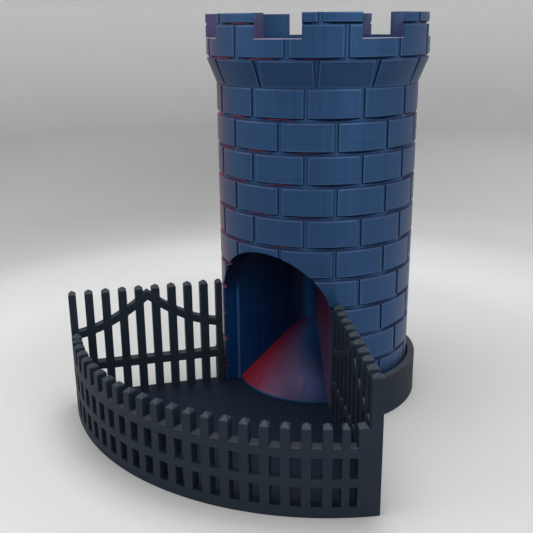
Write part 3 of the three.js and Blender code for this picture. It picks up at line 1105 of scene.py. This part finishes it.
def cone_silk():
    """The ramp's colour turns round its axis: crimson, mauve, then blue, in streaks towards its point, which
    are painted highlights. Near the point it takes painted light and shade.
    """
    finish = Finish("cone_silk", **SILK)
    flow = finish.join(finish.bearing, finish.times(finish.radius, 2.0), 0.0)
    # painted highlights: the rings of print lines reflect in radial streaks
    streaks = finish.noise(flow, 34.0, 3.0, 0.6)
    to_right = finish.span(finish.bearing, -HALF_TRAY, HALF_TRAY)
    shift = finish.times(finish.vary(streaks, -0.16, 0.16), to_right)
    tint = finish.ramp(finish.plus(to_right, shift), CONE_STOPS)
    # painted shade on the left and painted light on the right, near the ramp's point
    near_point = finish.span(finish.radius, 26 * MM, 10 * MM)
    tint = finish.mix(near_point, tint, finish.ramp(to_right, CONE_POINT_LIGHT_STOPS))
    tint = finish.mix(finish.span(finish.normal[2], 0.45, 0.6), BLUE, tint)
    rings, broad = layer_lines(finish)
    tint = finish.shade(
        tint,
        finish.vary(streaks, 0.84, 1.16),
        finish.vary(rings, 0.95, 1.05),
        finish.vary(broad, 0.97, 1.03),
    )
    return finish.finish(tint, finish.vary(streaks, 0.34, 0.46), rings, 0.03 * MM)


CHARCOAL = colour(0.011, 0.019, 0.032)
# painted light on the fences' tops; the tray's top is darker, partly painted shade and partly its print
LIT_CHARCOAL_TOP = colour(0.042, 0.050, 0.060)
TRAY_TOP_PRINT_AND_SHADE = colour(0.002, 0.007, 0.019)


def black_print(name, top_colour, low_share=0.0):
    """Matte charcoal plastic: level layer lines on its sides, slanting print lines on its tops.

    Tops take top_colour from 21 mm up, and low_share of it below 18 mm. On the fences that is a paler
    painted light from above, which the low ledges under the rails miss; on the tray it is a darker colour,
    partly painted shade and partly the print's own darker top.
    """
    finish = Finish(name, IOR=1.45, Specular_IOR_Level=0.28)
    x, y = finish.x, finish.y
    fine, broad = layer_lines(finish)
    along = finish.times(finish.math("SUBTRACT", x, y), 0.02)
    lines = finish.noise(finish.join(finish.plus(x, y), along, 0.0), 1500.0, 1.0)
    top = finish.span(finish.normal[2], 0.6, 0.9)
    # painted light on the tops, kept off the low ledges
    pale = finish.times(top, finish.span(finish.z, 18 * MM, 21 * MM, low_share, 1.0))
    height = finish.add("ShaderNodeMix", {0: top, 2: fine, 3: lines}, 0, data_type="FLOAT")
    speckle = finish.noise(finish.place, 1800.0)
    tint = finish.shade(
        finish.mix(pale, CHARCOAL, top_colour),
        finish.vary(broad, 0.90, 1.10),
        finish.vary(speckle, 0.93, 1.07),
        finish.vary(height, 0.93, 1.07),
    )
    roughness = finish.vary(height, 0.56, 0.70)
    return finish.finish(tint, roughness, height, 0.04 * MM)


# ---------------------------------------------------------------- the pieces on their bodies


def settle(made, body, material, node):
    """Gives a piece its material and its body, and hides the CAD node that it stands for."""
    made.data.materials.clear()
    made.data.materials.append(material)
    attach(made, body)
    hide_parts(node)


def build_tower():
    wall_silk = outer_silk("wall_silk", WALL_COLOURS)
    door_silk = outer_silk("door_silk", WALL_COLOURS, in_doorway=True)
    parapet_silk = outer_silk("parapet_silk", WALL_COLOURS, crenels=True)
    merlon_silk = outer_silk("merlon_silk", MERLON_COLOURS)
    all_shaft = [shaft_course(i) for i in range(UPPER_COURSES + LOWER_COURSES)]
    flare = brick_wall("flare_bricks", [FLARE], (SHAFT_RADIUS, CROWN_INNER), FLARE.ledge, FLARE.top)
    parapet = brick_wall("parapet_bricks", [PARAPET], (CROWN_INNER, CROWN_INNER), FLARE.top, CRENEL_FLOOR)
    walls = (
        (lower_bricks(), all_shaft, door_silk, "doorway_wall"),
        (upper_bricks(), all_shaft, wall_silk, "shaft_wall"),
        (flare, [FLARE], wall_silk, "corbel_ring"),
        (parapet, [PARAPET], parapet_silk, "parapet_ring"),
    )
    for made, courses, material, node in walls:
        settle(paint_bricks(made, courses), "tower", material, node)
    for number in range(MERLONS):
        made = paint_bricks(merlon_bricks(number), [PARAPET, TOP_COURSE])
        settle(made, "tower", merlon_silk, f"merlon_{number + 1}")
    inside = chamber_silk()
    settle(chamber_side(-1), "tower", inside, "left_chamber_wall")
    settle(chamber_side(1), "tower", inside, "right_chamber_wall")
    settle(chamber_back(), "tower", inside, "chamber_corner")
    settle(exit_cone(), "tower", cone_silk(), "exit_ramp")
    for node in ("sloping_deck", "front_baffle", "back_baffle"):
        dress_cad_sheet(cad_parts[node], inside)


def dress_cad_sheet(sheet, material):
    """A sheet inside the shaft keeps its CAD mesh, with its edges rounded."""
    sheet.modifiers.new("weld", "WELD").merge_threshold = 0.01 * MM
    bevel = sheet.modifiers.new("rounded edges", "BEVEL")
    bevel.width = SOFT_EDGE
    bevel.segments = 2
    sheet.data.materials.clear()
    sheet.data.materials.append(material)


def build_base():
    fence = black_print("fence_black", LIT_CHARCOAL_TOP)
    tray = black_print("tray_black", TRAY_TOP_PRINT_AND_SHADE, low_share=1.0)
    settle(plate(), "base", tray, "base_plate")
    fences = (
        (socket_wall, (), "socket_ring"),
        (side_fence, (-1,), "left_fence"),
        (side_fence, (1,), "right_fence"),
        (corner_post, (-1,), "left_corner_post"),
        (corner_post, (1,), "right_corner_post"),
        (front_fence, (), "front_fence"),
    )
    for make, side, node in fences:
        settle(make(*side), "base", fence, node)


# ---------------------------------------------------------------- stage, light and camera


FLOOR_RADIUS = 1.1
SWEEP = 0.35
WALL_TOP = 1.6
# How bright the floor and the wall are, by metres from the axis along the floor and then up: painted
# light and shade across the stage.
STAGE_LEVELS = (
    (0.0, 0.55), (0.165, 0.55), (0.215, 0.60), (0.28, 0.55), (0.33, 0.455), (0.44, 0.40),
    (0.62, 0.39), (1.1, 0.42), (1.3, 0.45), (1.46, 0.515), (1.65, 0.61), (2.2, 0.66),
)
PALER_SIDE = 121  # the bearing towards which painted light makes the floor paler


def studio_shape():
    """A floor that sweeps up into a wall all round."""
    steps = 96
    sweep_steps = 12
    profile = [(radius, 0.0) for radius in (0.1, 0.2, 0.3, 0.45, 0.65, 0.85)]
    for i in range(sweep_steps + 1):
        angle = math.pi / 2 * i / sweep_steps
        profile.append((FLOOR_RADIUS + SWEEP * math.sin(angle), SWEEP * (1 - math.cos(angle))))
    profile.append((FLOOR_RADIUS + SWEEP, WALL_TOP))
    vertices = [Vector((0, 0, 0))]
    for radius, height in profile:
        vertices += [polar(radius, 360 * i / steps, height) for i in range(steps)]
    faces = [(0, 1 + i, 1 + (i + 1) % steps) for i in range(steps)]
    for a in range(1, 1 + (len(profile) - 1) * steps, steps):
        for i in range(steps):
            j = (i + 1) % steps
            faces.append((a + i, a + steps + i, a + steps + j, a + j))
    floor = piece("studio_floor", vertices, faces)
    face_outwards(floor)
    return floor


def studio_grey():
    finish = Finish("studio_grey", Specular_IOR_Level=0.1)
    far_end = STAGE_LEVELS[-1][0]
    stops = [(reach / far_end, colour(level, level, 0.99 * level)) for reach, level in STAGE_LEVELS]
    reach = finish.plus(finish.radius, finish.z)
    grain = finish.noise(finish.place, 300.0)
    tint = finish.shade(
        finish.ramp(finish.span(reach, 0.0, far_end), stops),
        finish.vary(grain, 0.99, 1.01),
        painted_side_light(finish, reach),
        tray_shadow(finish),
    )
    return finish.finish(tint, finish.vary(grain, 0.75, 0.85), grain, 0.01 * MM)


def painted_side_light(finish, reach):
    """Painted light and shade on the floor: a little darker just to the left behind the tower, and paler far
    to the right.
    """
    paler = polar(1.0, PALER_SIDE)
    side = finish.plus(finish.times(finish.x, paler.x), finish.times(finish.y, paler.y))
    rightwards = finish.span(side, -0.12, 0.35, 0.80, 1.28)
    leftwards = finish.span(side, -0.12, -0.35, 0.80, 0.95)
    level = finish.math("MAXIMUM", rightwards, leftwards)
    share = finish.times(finish.span(reach, 0.28, 0.38), finish.span(reach, 1.3, 0.7))
    return finish.plus(finish.times(share, finish.math("SUBTRACT", level, 1.0)), 1.0)


def tray_shadow(finish):
    """The floor is darker close to the tray's curved front, where less of the light reaches it."""
    from_left = finish.span(finish.bearing, math.radians(-50), math.radians(-20))
    from_right = finish.span(finish.bearing, math.radians(46), math.radians(40))
    near = finish.span(finish.radius, TRAY_RADIUS + 6 * MM, TRAY_RADIUS + 26 * MM, 0.27, 0.0)
    darkness = finish.times(near, finish.times(from_left, from_right))
    return finish.math("SUBTRACT", 1.0, darkness)


def build_stage():
    floor = studio_shape()
    floor.data.materials.append(studio_grey())


CAMERA_BEARING = 31.17
CAMERA_DISTANCE = 398.6 * MM
CAMERA_HEIGHT = 192.0 * MM
CAMERA_PITCH = 17.55  # down
CAMERA_YAW = -3.735  # to the left of the tower's axis
CAMERA_ROLL = -0.54
LENS = 52.42  # mm, on a square of 36 mm


def soft_light(name, place, size, power):
    """A round lamp that looks at the middle of the tower. size is in metres and power in watts."""
    lamp = bpy.data.lights.new(name, "AREA")
    lamp.shape = "DISK"
    lamp.size = size
    lamp.energy = power
    made = bpy.data.objects.new(name, lamp)
    made.location = place
    made.rotation_euler = (Vector((0, 0, 0.1)) - place).to_track_quat("-Z", "Y").to_euler()
    bpy.context.scene.collection.objects.link(made)


def build_light():
    world = bpy.data.worlds.new("studio")
    bpy.context.scene.world = world
    world.use_nodes = True
    background = world.node_tree.nodes["Background"]
    background.inputs["Color"].default_value = colour(0.95, 0.97, 1.0)
    background.inputs["Strength"].default_value = 0.66
    soft_light("overhead", Vector((0.0, -0.1, 1.3)), 1.2, 13.0)
    soft_light("left_side", polar(1.0, CAMERA_BEARING - 75, 0.6), 0.7, 2.5)
    soft_light("right_front", polar(1.0, CAMERA_BEARING + 40, 0.6), 0.7, 3.0)
    bpy.context.scene.view_settings.view_transform = "Standard"


def build_camera():
    lens = bpy.data.cameras.new("camera")
    lens.sensor_width = 36
    lens.lens = LENS
    made = bpy.data.objects.new("camera", lens)
    made.location = polar(CAMERA_DISTANCE, CAMERA_BEARING, CAMERA_HEIGHT)
    turn = Matrix.Rotation(math.radians(CAMERA_BEARING - CAMERA_YAW), 4, "Z")
    tilt = Matrix.Rotation(math.radians(90 - CAMERA_PITCH), 4, "X")
    roll = Matrix.Rotation(math.radians(CAMERA_ROLL), 4, "Z")
    made.rotation_euler = (turn @ tilt @ roll).to_euler()
    bpy.context.scene.collection.objects.link(made)
    bpy.context.scene.camera = made


build_camera()
build_tower()
build_base()
build_stage()
build_light()
